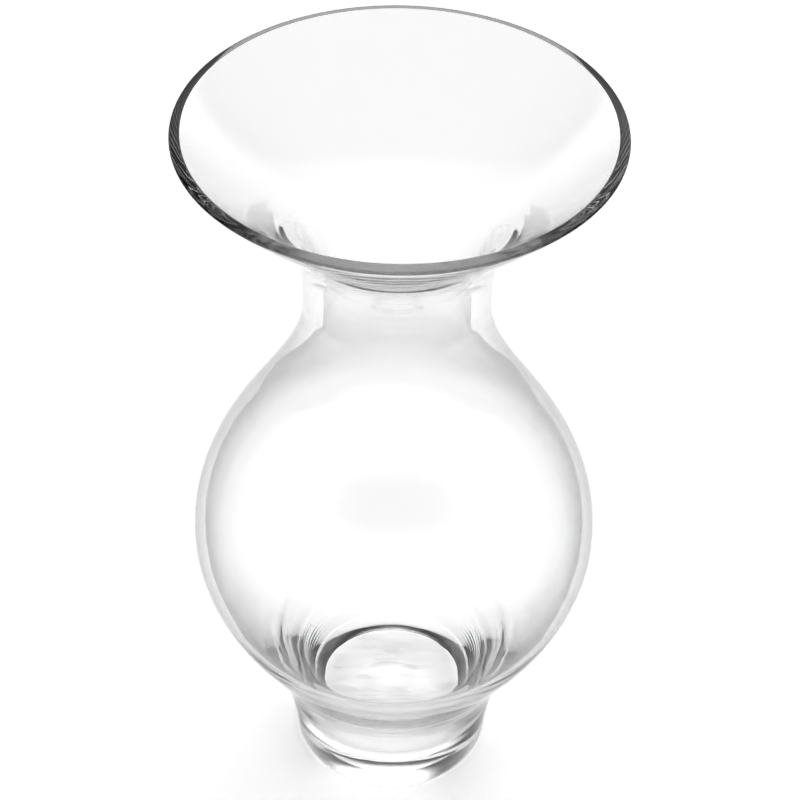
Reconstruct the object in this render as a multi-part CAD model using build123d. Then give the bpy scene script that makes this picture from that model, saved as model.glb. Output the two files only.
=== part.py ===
from build123d import *
import os
from collections import namedtuple
from math import cos, radians, sin

# A mouth-blown clear glass vase for forcing one hyacinth bulb in water.
# The foot stands on z = 0, the axis is Z, and every zone is a ring turned about it.
# Lengths are in millimetres. A heading is the rise of a wall line from the horizontal, in degrees.

# Rim and mouth
height = 200.0
rim_radius = 48.6
lip_thickness = 2.2
lip_depth = 3.0
lip_heading = 47.5
mouth_pull = 28.0

# Throat
neck_height = 152.5
neck_radius = 21.5
neck_wall = 4.6
throat_rise = 24.0
neck_drop = 12.0

# Shoulder, where the belly's outward curve turns into the neck's inward curve
shoulder_height = 117.3
shoulder_radius = 35.8
shoulder_wall = 3.0
shoulder_heading = 122.0
shoulder_pull = 13.7

# Belly, at its widest line
belly_height = 78.3
belly_radius = 50.4
belly_wall = 2.8
belly_pull = 15.8

# Waist, where the sweep of the foot runs into the belly
waist_height = 34.2
waist_radius = 33.0
waist_wall = 4.7
waist_heading = 69.9
waist_drop = 2.0
waist_pull = 10.4
bowl_pull = 17.7

# Foot, a heavy cup of glass with a dished underside
foot_radius = 26.3
foot_edge_radius = 1.2
foot_heading = 86.0
foot_rise = 22.0
ring_radius = 12.0
dish_depth = 1.8

# Well, the hollow of the foot, which opens into the bowl without an edge
floor_height = 12.7
floor_radius = 16.8
floor_pull = 4.5
well_heading = 64.6
well_drop = 16.0
well_rise = 16.6
well_pull = 18.8

# One cut through the glass: its outer and inner point, and which way the wall runs there
Station = namedtuple("Station", "outer inner heading")


def at(radius, level):
    """A point of the half section, which lies in the XZ plane."""
    return Vector(radius, 0, level)


def along(heading, length):
    """A step of a given length in the direction of a heading."""
    return Vector(cos(radians(heading)), 0, sin(radians(heading))) * length


def level_cut(radius, level, wall, heading):
    """A station cut level, so that the zones above and below it meet on a flat ring."""
    return Station(at(radius, level), at(radius - wall / sin(radians(heading)), level), heading)


def wall_line(start, start_heading, start_pull, end, end_heading, end_pull):
    """One smooth run of the wall: it leaves and arrives on its headings, held there by the pulls."""
    leave = start + along(start_heading, start_pull)
    arrive = end - along(end_heading, end_pull)
    return Bezier(start, leave, arrive, end)


def wall_pair(low, low_pull, high, high_pull):
    """The outer and the inner line between two stations; the inner pulls keep to its own length."""
    outer = wall_line(low.outer, low.heading, low_pull, high.outer, high.heading, high_pull)
    share = (high.inner - low.inner).length / (high.outer - low.outer).length
    inner = wall_line(low.inner, low.heading, low_pull * share, high.inner, high.heading, high_pull * share)
    return outer, inner


def turned(*edges):
    """The ring that a closed half section makes when it is turned about the axis."""
    return revolve(make_face(edges), axis=Axis.Z, revolution_arc=360)


# The lip is a full round, whose top is the vase's height and whose side is its largest radius.
lip_round = lip_thickness / 2
lip_centre = at(rim_radius - lip_round, height - lip_round)
lip_under = lip_centre + along(lip_heading - 90, lip_round)
lip_over = lip_centre + along(lip_heading + 90, lip_round)
lip_tip = lip_centre + along(lip_heading, lip_round)
lip_back = along(lip_heading, lip_depth)

waist = level_cut(waist_radius, waist_height, waist_wall, waist_heading)
belly_line = level_cut(belly_radius, belly_height, belly_wall, 90)
shoulder = level_cut(shoulder_radius, shoulder_height, shoulder_wall, shoulder_heading)
throat = level_cut(neck_radius, neck_height, neck_wall, 90)
lip = Station(lip_under - lip_back, lip_over - lip_back, lip_heading)


def make_rim():
    """The fire-polished lip: a short end of the wall with a round edge."""
    return turned(
        Line(lip.outer, lip_under),
        ThreePointArc(lip_under, lip_tip, lip_over),
        Line(lip_over, lip.inner),
        Line(lip.inner, lip.outer),
    )


def make_mouth():
    """The trumpet that the bulb sits in, from the narrowest line up to the lip."""
    outer, inner = wall_pair(throat, throat_rise, lip, mouth_pull)
    return turned(outer, Line(lip.outer, lip.inner), inner, Line(throat.inner, throat.outer))


def make_neck():
    """The narrowing that holds the bulb above the water, from the shoulder to the narrowest line."""
    outer, inner = wall_pair(shoulder, shoulder_pull, throat, neck_drop)
    return turned(outer, Line(throat.outer, throat.inner), inner, Line(shoulder.inner, shoulder.outer))


def make_belly():
    """The round water bowl, from the waist over its widest line to the shoulder."""
    low_outer = wall_line(waist.outer, waist_heading, waist_pull, belly_line.outer, 90, bowl_pull)
    low_inner = wall_line(waist.inner, well_heading, well_rise, belly_line.inner, 90, well_pull)
    high_outer, high_inner = wall_pair(belly_line, belly_pull, shoulder, shoulder_pull)
    return turned(
        low_outer,
        high_outer,
        Line(shoulder.outer, shoulder.inner),
        high_inner,
        low_inner,
        Line(waist.inner, waist.outer),
    )


def make_foot():
    """The heavy foot: thick floor, sweeping side with an eased edge, and a dish inside the standing ring."""
    edge_centre = at(foot_radius - foot_edge_radius, foot_edge_radius)
    edge_low = edge_centre + along(-90, foot_edge_radius)
    edge_high = edge_centre + along(foot_heading - 90, foot_edge_radius)
    dish_top = at(0, dish_depth)
    ring_inside = at(ring_radius, 0)
    floor_centre = at(0, floor_height)
    floor_edge = at(floor_radius, floor_height)
    return turned(
        TangentArc(dish_top, ring_inside, tangent=(1, 0, 0)),
        Line(ring_inside, edge_low),
        TangentArc(edge_low, edge_high, tangent=(1, 0, 0)),
        wall_line(edge_high, foot_heading, foot_rise, waist.outer, waist_heading, waist_drop),
        Line(waist.outer, waist.inner),
        wall_line(floor_edge, 0, floor_pull, waist.inner, well_heading, well_drop),
        Line(floor_edge, floor_centre),
        Line(floor_centre, dish_top),
    )


zones = {
    "foot": make_foot(),
    "belly": make_belly(),
    "neck": make_neck(),
    "mouth": make_mouth(),
    "rim": make_rim(),
}

os.makedirs("parts", exist_ok=True)
for name, ring in zones.items():
    export_step(ring, f"parts/{name}.step")
    print(name, "volume", round(ring.volume), "mm3")

glass = sum(ring.volume for ring in zones.values())
print("glass in all", round(glass / 1000), "cm3, size", zones["belly"].bounding_box().size, "height", height)
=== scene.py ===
# %% [markdown]
# # A clear glass vase for forcing a hyacinth bulb
# The vase is one piece of blown glass: a heavy foot, a round belly for the water, a narrow neck and a wide
# trumpet mouth that carries the bulb. The solid model comes first, as a fixed frame. Everything in this file is
# fitted to that frame, so we load it before anything else and keep the box that it fills.

# %% Load the frame
import math

import bmesh
import bpy
from mathutils import Euler, Matrix, Vector
from mathutils.geometry import interpolate_bezier


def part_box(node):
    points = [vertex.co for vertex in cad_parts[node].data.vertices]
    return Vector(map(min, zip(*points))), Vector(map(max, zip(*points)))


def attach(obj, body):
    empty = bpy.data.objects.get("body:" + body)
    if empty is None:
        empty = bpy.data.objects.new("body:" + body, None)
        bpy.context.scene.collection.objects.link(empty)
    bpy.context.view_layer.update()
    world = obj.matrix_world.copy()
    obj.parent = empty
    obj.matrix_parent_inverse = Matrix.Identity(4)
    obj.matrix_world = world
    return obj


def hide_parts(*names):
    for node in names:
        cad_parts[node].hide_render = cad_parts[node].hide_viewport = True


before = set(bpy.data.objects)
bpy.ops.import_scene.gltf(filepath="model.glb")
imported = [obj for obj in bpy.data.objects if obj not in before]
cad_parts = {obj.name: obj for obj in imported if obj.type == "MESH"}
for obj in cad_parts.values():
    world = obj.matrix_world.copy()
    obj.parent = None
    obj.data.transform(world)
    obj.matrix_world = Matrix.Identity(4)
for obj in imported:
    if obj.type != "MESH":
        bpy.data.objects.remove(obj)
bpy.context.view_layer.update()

MM = 0.001
scene = bpy.context.scene

# %% [markdown]
# ## Where the wall stands
# The solid model is cut into rings at the places where a glassmaker changes from one zone to the next. The
# corners of those cuts are points of the frame's meshes, so we can read the outer and the inner radius of the
# wall straight from them. Reading them, and not copying numbers, keeps the glass on the solid when a size changes.


# %% Read the cuts
LEVEL_SLACK = 0.01 * MM


def cut_radii(node, level):
    """Inner and outer radius of a ring's wall where it is cut level."""
    corners = [v.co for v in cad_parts[node].data.vertices if abs(v.co.z - level) < LEVEL_SLACK]
    radii = [math.hypot(corner.x, corner.y) for corner in corners]
    return min(radii), max(radii)


waist_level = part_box("foot")[1].z
shoulder_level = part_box("belly")[1].z
throat_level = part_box("neck")[1].z
rim_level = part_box("rim")[1].z
waist_in, waist_out = cut_radii("belly", waist_level)
shoulder_in, shoulder_out = cut_radii("neck", shoulder_level)
throat_in, throat_out = cut_radii("mouth", throat_level)
rim_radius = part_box("rim")[1].x
belly_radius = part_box("belly")[1].x
print("throat, mm:", round(2 * throat_in / MM, 1), "inside,", round(2 * throat_out / MM, 1), "outside")

# %% [markdown]
# ## The wall as smooth lines
# Between two cuts the wall is one smooth bend. A Bezier curve suits it: it leaves one cut on a heading, arrives
# at the next on another, and two pulls say how long it holds each heading. Blender samples such a curve with
# interpolate_bezier, so no point list is needed. Glass shows every kink as a jump in what is seen through it,
# which is why neighbouring bends share the heading where they meet.


# %% Bends
def point(radius, level):
    """A point of the half section, in the XZ plane."""
    return Vector((radius, 0, level))


def step(heading, length):
    """A step along a heading, in degrees above the horizontal."""
    turn = math.radians(heading)
    return Vector((math.cos(turn), 0, math.sin(turn))) * length


def bend(start, start_heading, start_pull, end, end_heading, end_pull, points=36):
    """Points of one smooth run of the wall, both ends included."""
    leave = start + step(start_heading, start_pull)
    arrive = end - step(end_heading, end_pull)
    return interpolate_bezier(start, leave, arrive, end, points)


def arc(centre, radius, first, last, points):
    """Points of a round edge, between two headings seen from its centre."""
    return [centre + step(first + (last - first) * i / (points - 1), radius) for i in range(points)]


# %% [markdown]
# ## The foot
# The foot stands on a flat ring round a shallow dish, its lower edge is eased, and its side sweeps out into the
# belly without a crease. A wooden tool shaped it while the glass turned, and left fine rings behind. They are
# only some hundredths of a millimetre deep, but glass makes them plain: they show as thin lines across the
# front of the foot. So they are part of the line that we spin, and that run gets more points than the others.

# %% Foot
foot_radius = 26.3 * MM
foot_edge = 1.2 * MM
foot_heading = 86.0
foot_rise = 22.0 * MM
ring_radius = 12.0 * MM
dish_depth = 1.8 * MM
waist_heading = 69.9
waist_drop = 2.0 * MM
tool_pitch = 1.3 * MM
tool_depth = 0.03 * MM
tool_low = 12.0 * MM
tool_high = 25.0 * MM

waist = point(waist_out, waist_level)
dish_sphere = (ring_radius**2 + dish_depth**2) / (2 * dish_depth)
dish_turn = math.degrees(math.asin(ring_radius / dish_sphere))
dish = arc(point(0, dish_depth - dish_sphere), dish_sphere, 90, 90 - dish_turn, points=14)
edge = arc(point(foot_radius - foot_edge, foot_edge), foot_edge, -90, foot_heading - 90, points=12)


def tooled(spot):
    """A point of the foot's side, moved in or out by the rings that the tool left."""
    share = min(max((spot.z - tool_low) / (tool_high - tool_low), 0), 1)
    depth = tool_depth * math.sin(math.pi * share) ** 2
    return spot + point(depth * math.sin(2 * math.pi * spot.z / tool_pitch), 0)


side = bend(edge[-1], foot_heading, foot_rise, waist, waist_heading, waist_drop, points=120)
foot_line = dish + edge + [tooled(spot) for spot in side[1:]]
print("foot line:", len(foot_line), "points,", round((tool_high - tool_low) / tool_pitch), "tool rings")

# %% [markdown]
# ## The lip
# The mouth ends in a lip that looks cut and then polished: an almost flat face that falls a little to the
# outside, with soft edges. Seen from above it is the clear dark band round the mouth. Two small arcs
# make it, and the flat face is the straight edge between them. The solid has a full round here: the flat face
# lies up to three quarters of a millimetre below it, and the inner edge stands out by a quarter of one.

# %% Lip
lip_heading = 47.5
lip_depth = 3.0 * MM
lip_round = 1.1 * MM
lip_edge = 0.35 * MM
lip_face = 1.8 * MM
lip_tilt = 12
lip_fall = 1.25 * MM

lip_middle = point(rim_radius - lip_round, rim_level - lip_round) - step(lip_heading, lip_depth)
lip_under = lip_middle + step(lip_heading - 90, lip_round)
lip_over = lip_middle + step(lip_heading + 90, lip_round)
lip_out = point(rim_radius - lip_edge, rim_level - lip_fall)
lip_in = lip_out + step(180 - lip_tilt, lip_face)
lip_line = arc(lip_out, lip_edge, lip_heading - 90, 90 - lip_tilt, points=10)
lip_line += arc(lip_in, lip_edge, 90 - lip_tilt, lip_heading + 90, points=8)
print("lip face, mm:", round((lip_face + lip_edge) / MM, 2))

# %% [markdown]
# ## The outside, from the foot to the lip
# Four bends make the rest of the outer line: up to the belly's widest line, in to the shoulder, on to the
# narrowest line of the throat, and out along the trumpet.

# %% Outer line
waist_pull = 10.4 * MM
bowl_pull = 17.7 * MM
belly_level = 78.3 * MM
belly_pull = 15.8 * MM
shoulder_heading = 122
shoulder_pull = 13.7 * MM
neck_drop = 12.0 * MM
throat_rise = 24.0 * MM
mouth_pull = 28.0 * MM

belly = point(belly_radius, belly_level)
shoulder = point(shoulder_out, shoulder_level)
throat = point(throat_out, throat_level)

outer = list(foot_line)
outer += bend(waist, waist_heading, waist_pull, belly, 90, bowl_pull)[1:]
outer += bend(belly, 90, belly_pull, shoulder, shoulder_heading, shoulder_pull)[1:]
outer += bend(shoulder, shoulder_heading, shoulder_pull, throat, 90, neck_drop)[1:]
outer += bend(throat, 90, throat_rise, lip_under, lip_heading, mouth_pull)[1:]
print("outer line:", len(outer), "points")

# %% [markdown]
# ## The inside, from the floor up to the lip
# The inner line is drawn the same way, a wall's thickness further in. Blown glass is thin where it was stretched
# most, at the belly, and thick where it was held, at the neck and in the foot. The well of the foot has sloping
# sides. Its slope and the heavy glass below it send the view back to the dark side of the room, and that makes
# the black crescents in the base. Where a run follows an outer one, its pulls are shorter in the same measure.

# %% Inner line
belly_wall = 2.8 * MM
floor_level = 12.7 * MM
floor_radius = 16.8 * MM
floor_pull = 4.5 * MM
well_heading = 64.6
well_drop = 16.0 * MM
well_rise = 16.6 * MM
well_pull = 18.8 * MM
floor_steps = 12

floor_edge = point(floor_radius, floor_level)
waist_inner = point(waist_in, waist_level)
belly_inner = point(belly_radius - belly_wall, belly_level)
shoulder_inner = point(shoulder_in, shoulder_level)
throat_inner = point(throat_in, throat_level)


def follow(low, high, low_out, low_heading, low_pull, high_out, high_heading, high_pull):
    """An inner run that follows the outer run between two cuts."""
    share = (high - low).length / (high_out - low_out).length
    return bend(low, low_heading, low_pull * share, high, high_heading, high_pull * share)


inner = [point(0, floor_level).lerp(floor_edge, i / floor_steps) for i in range(floor_steps)]
inner += bend(floor_edge, 0, floor_pull, waist_inner, well_heading, well_drop, points=60)
inner += bend(waist_inner, well_heading, well_rise, belly_inner, 90, well_pull)[1:]
inner += follow(belly_inner, shoulder_inner, belly, 90, belly_pull, shoulder, shoulder_heading, shoulder_pull)[1:]
inner += follow(shoulder_inner, throat_inner, shoulder, shoulder_heading, shoulder_pull, throat, 90, neck_drop)[1:]
inner += follow(throat_inner, lip_over, throat, 90, throat_rise, lip_under, lip_heading, mouth_pull)[1:]
print("inner line:", len(inner), "points")

# %% [markdown]
# ## Turning the glass
# A body of revolution is made by spinning its half section about the axis. bmesh.ops.spin does that from a
# chain of edges. A full spin is told to merge its last step with its first, the points on the axis are merged
# to single poles, and then the faces are turned to look outwards, out of the glass. The frame has five rings,
# because the solid was cut into zones. In the picture they are one piece of glass, so one piece replaces them.

# %% Spin
TURNS = 160
MERGE = 0.002 * MM


def spun(name, line):
    """One closed mesh from a half section whose ends lie on the axis."""
    bm = bmesh.new()
    verts = [bm.verts.new(p) for p in line]
    edges = [bm.edges.new(pair) for pair in zip(verts, verts[1:])]
    bmesh.ops.spin(bm, geom=verts + edges, axis=(0, 0, 1), cent=(0, 0, 0), angle=2 * math.pi,
                   steps=TURNS, use_merge=True)
    bmesh.ops.remove_doubles(bm, verts=bm.verts, dist=MERGE)
    bmesh.ops.recalc_face_normals(bm, faces=bm.faces)
    for face in bm.faces:
        face.smooth = True
    mesh = bpy.data.meshes.new(name)
    bm.to_mesh(mesh)
    bm.free()
    piece = bpy.data.objects.new(name, mesh)
    scene.collection.objects.link(piece)
    return piece


vase = spun("vase_glass", outer + lip_line + inner[::-1])
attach(vase, "root")
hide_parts("foot", "belly", "neck", "mouth", "rim")
print("glass:", len(vase.data.polygons), "faces")

# %% [markdown]
# ## Calculating with shader sockets
# Materials and the studio's light are node trees. A small class that wraps one socket lets us write their sums
# as plain arithmetic: each operator adds the Math node that it stands for, and one method makes any other node.


# %% Wires
class Wire:
    """One socket of a node tree that can be calculated with."""

    def __init__(self, tree, socket=None):
        self.tree = tree
        self.socket = socket

    def node(self, kind, output, settings=None, inputs=None):
        """Any node: its settings, then values or wires for its inputs. Gives back one output."""
        made = self.tree.nodes.new(kind)
        for name, value in (settings or {}).items():
            setattr(made, name, value)
        for name, value in (inputs or {}).items():
            if isinstance(value, Wire):
                self.tree.links.new(value.socket, made.inputs[name])
            else:
                made.inputs[name].default_value = value
        return Wire(self.tree, made.outputs[output])

    def into(self, shader, name):
        """Plug this wire into a shader's input."""
        self.tree.links.new(self.socket, shader.inputs[name])

    def math(self, operation, *values):
        """A Math node."""
        return self.node("ShaderNodeMath", 0, {"operation": operation}, dict(enumerate(values)))

    def __add__(self, other):
        return self.math("ADD", self, other)

    def __sub__(self, other):
        return self.math("SUBTRACT", self, other)

    def __rsub__(self, other):
        return self.math("SUBTRACT", other, self)

    def __mul__(self, other):
        return self.math("MULTIPLY", self, other)

    def __truediv__(self, other):
        return self.math("DIVIDE", self, other)

    def __pow__(self, other):
        return self.math("POWER", self, other)

    __radd__ = __add__
    __rmul__ = __mul__

    def most(self, other):
        return self.math("MAXIMUM", self, other)

    def ramp(self, start, end):
        """A smooth rise from 0 at start to 1 at end."""
        inputs = {"Value": self, "From Min": start, "From Max": end}
        return self.node("ShaderNodeMapRange", "Result", {"interpolation_type": "SMOOTHSTEP"}, inputs)

    def parts(self):
        """The three numbers of a vector."""
        first = self.node("ShaderNodeSeparateXYZ", 0, inputs={"Vector": self})
        return [Wire(self.tree, output) for output in first.socket.node.outputs]

    def noise(self, x, y, z, detail):
        """Soft random values between 0 and 1, about one blot for each unit of x, y and z."""
        spot = self.node("ShaderNodeCombineXYZ", 0, inputs={"X": x, "Y": y, "Z": z})
        return self.node("ShaderNodeTexNoise", 0, inputs={"Vector": spot, "Scale": 1.0, "Detail": detail})


# %% [markdown]
# ## Clear glass
# The glass is colourless, so its shader is plain: full transmission, no roughness and an index of refraction of
# 1.5. In the photograph the edges of the belly and the lip are grey, and clear glass on a white table does not
# give that by itself. So these tones are painted shade in the glass's colour, with strengths listed below: Layer
# Weight greys the grazing edges, less in the thin trumpet, and the place of the lip gives a second painted shade.
# The floor of the well is painted a shade greyer, with cloudy streaks: painted shade for the tool's chill marks.
# The skin of blown glass is never quite even: cords, thin streaks that lie round the wall, bend the view a
# little, and they are a bump of about a hundredth of a millimetre. The standing ring is scuffed from use.

# %% Glass
glass = bpy.data.materials.new("clear_glass")
glass.use_nodes = True
shader = glass.node_tree.nodes["Principled BSDF"]
shader.inputs["Transmission Weight"].default_value = 1.0
shader.inputs["IOR"].default_value = 1.5

# How strong the painted shade is, and where it lies: on the grazing edges, on the lip and on the well's floor.
edge_power = 3.8
edge_most = 0.9
trumpet_less = 0.6
trumpet_start = (130 * MM, 165 * MM)
lip_shade_depth = 0.84
lip_rise = (lip_out.z - 0.65 * MM, lip_out.z - 0.15 * MM)
lip_reach = (lip_in.x - 0.2 * MM, lip_in.x)
well_shade_depth = 0.08
cloud_shade_depth = 0.3
well_side = (17 * MM, 20 * MM)
well_bottom = (8 * MM, 11 * MM)
well_top = (13 * MM, 17 * MM)
scuff_rough = 0.25
scuff_end = (0.05 * MM, 0.4 * MM)
cord_depth = 0.012 * MM
cord_end = (185 * MM, 195 * MM)

clear = Wire(glass.node_tree)
x, y, z = clear.node("ShaderNodeTexCoord", "Object").parts()
radius = (x * x + y * y) ** 0.5
facing = clear.node("ShaderNodeLayerWeight", "Facing", inputs={"Blend": 0.5})
# Painted shade: the grazing edges are greyed in the glass's colour, less in the trumpet.
edge_shade_amount = edge_most - trumpet_less * z.ramp(*trumpet_start)
painted_edge_shade = (1 - edge_shade_amount * facing ** edge_power) ** 2

# Painted shade: the band of the lip is greyed in the glass's colour.
on_lip = z.ramp(*lip_rise) * radius.ramp(*lip_reach)
lip_painted_shade = 1 - lip_shade_depth * on_lip

# Painted shade: the well's floor is greyed a little, and more in cloudy streaks.
in_well = (1 - radius.ramp(*well_side)) * z.ramp(*well_bottom) * (1 - z.ramp(*well_top))
clouds = clear.noise(x * 110, y * 330, z * 110, 6.0)
well_painted_shade = 1 - in_well * (well_shade_depth + cloud_shade_depth * clouds.ramp(0.3, 0.7))
(painted_edge_shade * lip_painted_shade * well_painted_shade).into(shader, "Base Color")

scuff = clear.noise(x * 900, y * 900, z * 900, 2.0)
(scuff_rough * scuff * (1 - z.ramp(*scuff_end))).into(shader, "Roughness")

cords = clear.noise(x * 18, y * 18, z * 170, 2.0) * (1 - z.ramp(*cord_end))
skin = clear.node("ShaderNodeBump", 0, inputs={"Strength": 1.0, "Distance": cord_depth, "Height": cords})
skin.into(shader, "Normal")
vase.data.materials.append(glass)
print("glass nodes:", len(glass.node_tree.nodes))

# %% [markdown]
# ## A pale table
# Clear glass is photographed on a white table that is lit from below as well, so that the ground stays white and
# the glass throws hardly any shadow. Here the floor is a wide pale disc with a soft light of its own. It lies a
# tenth of a millimetre below the foot, because two faces in one plane would flicker.

# %% Floor
table_radius = 12.0
table_gap = 0.1 * MM
table_glow = 0.60

bm = bmesh.new()
bmesh.ops.create_circle(bm, cap_ends=True, segments=96, radius=table_radius)
mesh = bpy.data.meshes.new("floor")
bm.to_mesh(mesh)
bm.free()
floor = bpy.data.objects.new("floor", mesh)
floor.location.z = -table_gap
scene.collection.objects.link(floor)

table = bpy.data.materials.new("pale_table")
table.use_nodes = True
shader = table.node_tree.nodes["Principled BSDF"]
shader.inputs["Base Color"].default_value = (0.85, 0.85, 0.85, 1)
shader.inputs["Roughness"].default_value = 0.9
shader.inputs["Specular IOR Level"].default_value = 0.1
shader.inputs["Emission Color"].default_value = (1, 1, 1, 1)
shader.inputs["Emission Strength"].default_value = table_glow
floor.data.materials.append(table)
print("floor: a disc", 2 * table_radius, "m wide")

# %% [markdown]
# ## A dark room with soft light
# Clear glass has no colour to show, only what lies around it, so the light is chosen by direction: a back wall a
# little to the right that grows brighter upwards, a soft light overhead, a pale strip along the horizon, and
# darkness at the front and the sides. The dark part draws the crescents in the base and deepens the sides of the
# lip. Low down the wall is no brighter than the strip, or the neck would vanish in front of it. The world's
# texture coordinate is the direction of a ray, so each zone is a short sum on its three numbers.

# %% World
world = bpy.data.worlds.new("studio")
scene.world = world
world.use_nodes = True
sky = Wire(world.node_tree)
x, y, z = sky.node("ShaderNodeTexCoord", "Generated").parts()
level = (x * x + y * y + 0.000001) ** 0.5
back_turn = math.radians(10)
horizon_light = 1.1
horizon_end = (0.18, 0.32)
wall_light = 1.0
wall_gain = 0.9
wall_height = (0.25, 0.45)
wall_width = (0.70, 0.92)
top_light = 1.0
top_width = (0.86, 0.98)

toward_back = (x * math.sin(back_turn) + y * math.cos(back_turn)) / level

low = horizon_light * (1 - z.ramp(*horizon_end))
back = (wall_light + wall_gain * z.ramp(*wall_height)) * toward_back.ramp(*wall_width)
top = top_light * (0.10 * x + 0.15 * y + z).ramp(*top_width)
low.most(back).most(top).into(world.node_tree.nodes["Background"], "Color")
world.node_tree.nodes["Background"].inputs["Strength"].default_value = 1.0
print("studio nodes:", len(world.node_tree.nodes))

# %% [markdown]
# ## The camera
# The photograph was taken from close by and from above, which is why the mouth looks so large and the foot so
# small. The distance, the pitch and the focal length were found by laying the vase's outline over the picture.
# The camera was held a degree askew, so there is a little roll. Light passes many walls on its way through the
# vase, so Cycles is allowed more bounces than usual. A display gamma below one deepens the greys, which stands for
# the strong contrast of the photograph.

# %% Camera
PIXELS = 800
FOCAL = 1887.0
SENSOR = 36
AXIS_SHIFT = 5.83
BOUNCES = 32
pitch = 43.01
yaw = math.degrees(math.atan(AXIS_SHIFT / FOCAL))
roll = 0.995

camera_data = bpy.data.cameras.new("camera")
camera_data.sensor_width = SENSOR
camera_data.lens = FOCAL / PIXELS * SENSOR
camera_data.clip_start = 0.01
camera = bpy.data.objects.new("camera", camera_data)
camera.location = (0, -0.330, 0.4282)
turn = Euler((math.radians(90 - pitch), 0, math.radians(-yaw))).to_matrix()
camera.rotation_euler = (turn @ Matrix.Rotation(math.radians(roll), 3, "Z")).to_euler()
scene.collection.objects.link(camera)
scene.camera = camera

scene.view_settings.view_transform = "Standard"
scene.view_settings.gamma = 0.72
scene.cycles.use_denoising = True
scene.cycles.max_bounces = BOUNCES
scene.cycles.transmission_bounces = BOUNCES
scene.cycles.glossy_bounces = BOUNCES
scene.cycles.diffuse_bounces = 6
scene.cycles.blur_glossy = 0
print("lens, mm:", round(camera_data.lens, 1))
